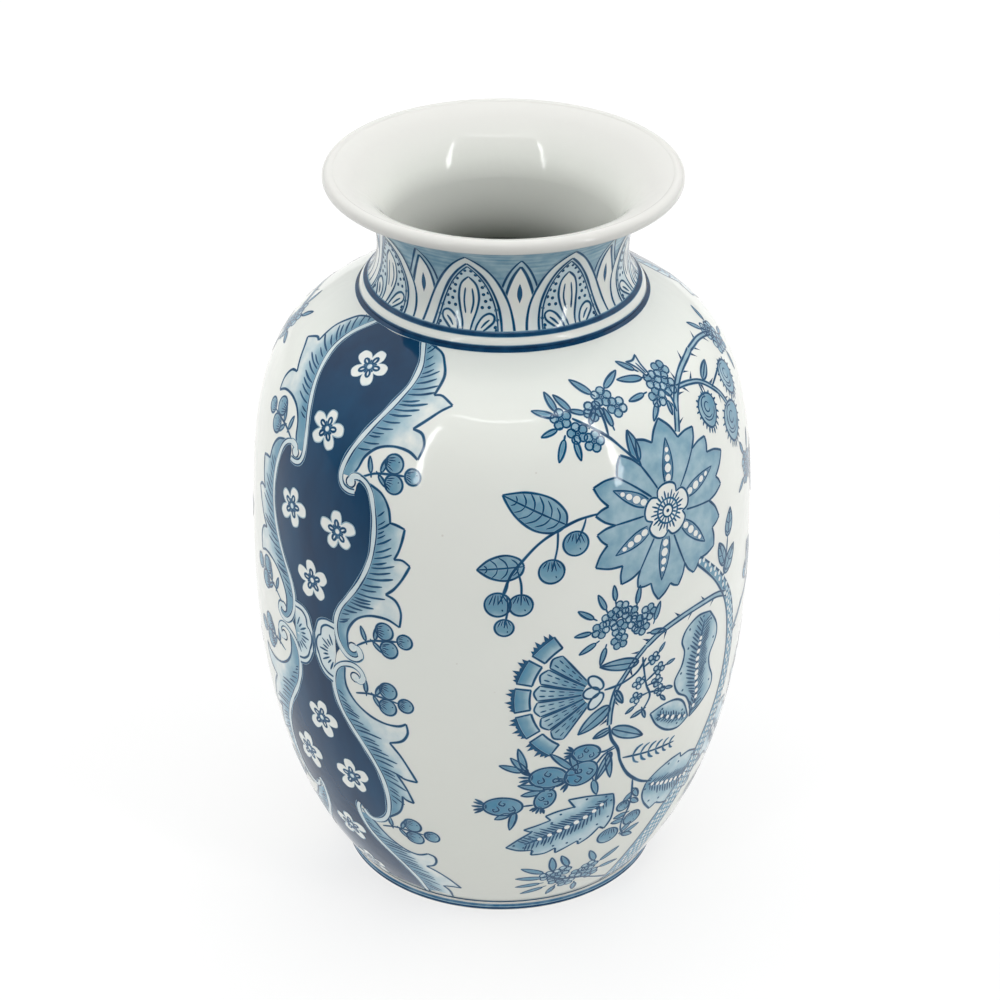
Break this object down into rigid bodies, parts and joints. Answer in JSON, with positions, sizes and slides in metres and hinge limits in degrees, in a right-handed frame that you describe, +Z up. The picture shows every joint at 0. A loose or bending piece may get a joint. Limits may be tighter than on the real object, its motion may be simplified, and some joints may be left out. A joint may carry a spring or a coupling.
{
  "type": "baluster vase",
  "caption": "Glazed baluster vase with an egg-shaped belly on a low foot, a short waisted neck and a wide flared mouth; holds flowers or stands as decoration.",
  "frame": {"origin": "centre of the foot's resting face", "axes": "+Z up along the vase's axis, from the foot to the mouth; -Y towards the side whose painting the picture shows; +X to that viewer's right"},
  "size_m": [0.2016, 0.2016, 0.305],
  "materials": {
    "white_glaze": "gloss",
    "bare_clay": "matte",
    "blue_underglaze": "gloss"
  },
  "bodies": {
    "root": {"foot_ring": "bare_clay", "lower_body": "white_glaze", "upper_body": "white_glaze", "neck_collar": "white_glaze", "flared_mouth": "white_glaze"}
  },
  "joints": []
}
